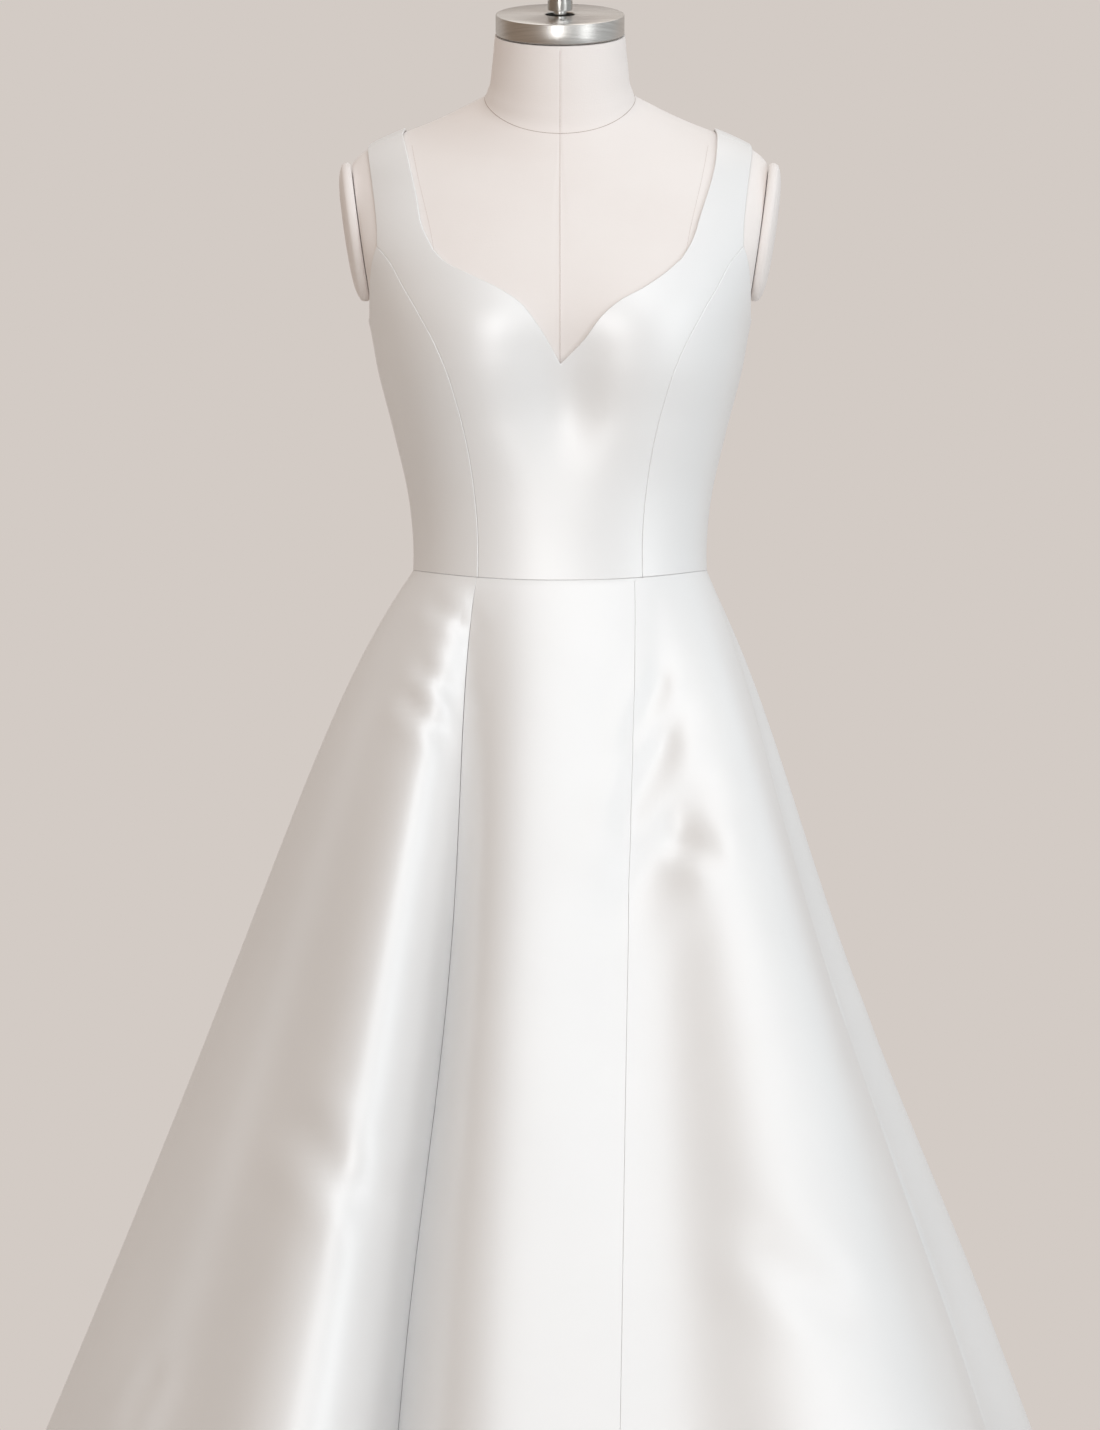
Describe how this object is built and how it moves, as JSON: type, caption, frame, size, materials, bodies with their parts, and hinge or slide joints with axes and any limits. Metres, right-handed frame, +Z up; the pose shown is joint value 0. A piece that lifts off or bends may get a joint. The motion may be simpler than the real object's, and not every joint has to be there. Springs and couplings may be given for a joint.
{
  "type": "sleeveless satin wedding dress on a limbless dress form with a stand",
  "caption": "Sleeveless princess-cut wedding dress with a sweetheart neckline and full gored skirt, standing on a limbless dress form with a pole and a round base.",
  "frame": {"origin": "centre of the stand base's underside, on the floor", "axes": "+Z up along the pole, -Y out of the front of the dress, +X to the viewer's right"},
  "size_m": [1.1523, 1.1561, 1.614],
  "materials": {
    "satin": "heavy white satin with a soft sheen",
    "form_cloth": "plain woven cover, pale pinkish cream, matt",
    "steel": "finely brushed, satin gloss",
    "zip_metal": "white lacquered metal"
  },
  "bodies": {
    "root": {"bodice_front": "satin", "bodice_side_front_left": "satin", "bodice_side_front_right": "satin", "bodice_side_back_left": "satin", "bodice_side_back_right": "satin", "bodice_back_left": "satin", "bodice_back_right": "satin", "skirt_front": "satin", "skirt_side_front_left": "satin", "skirt_side_front_right": "satin", "skirt_side_back_left": "satin", "skirt_side_back_right": "satin", "skirt_back_left": "satin", "skirt_back_right": "satin", "zip_slider": "zip_metal", "form_torso": "form_cloth", "form_arm_plate_left": "form_cloth", "form_arm_plate_right": "form_cloth", "form_neck_cap": "steel", "form_neck_rod": "steel", "stand_collar": "steel", "stand_pole": "steel", "stand_base": "steel"},
    "pull": {"zip_tab": "zip_metal"}
  },
  "joints": [
    {"name": "zip_tab_swing", "type": "hinge", "parent": "root", "child": "pull", "pos_m": [0, 0.11373, 1.24698], "axis": [1, 0, 0], "range_deg": [-8, 110]}
  ]
}
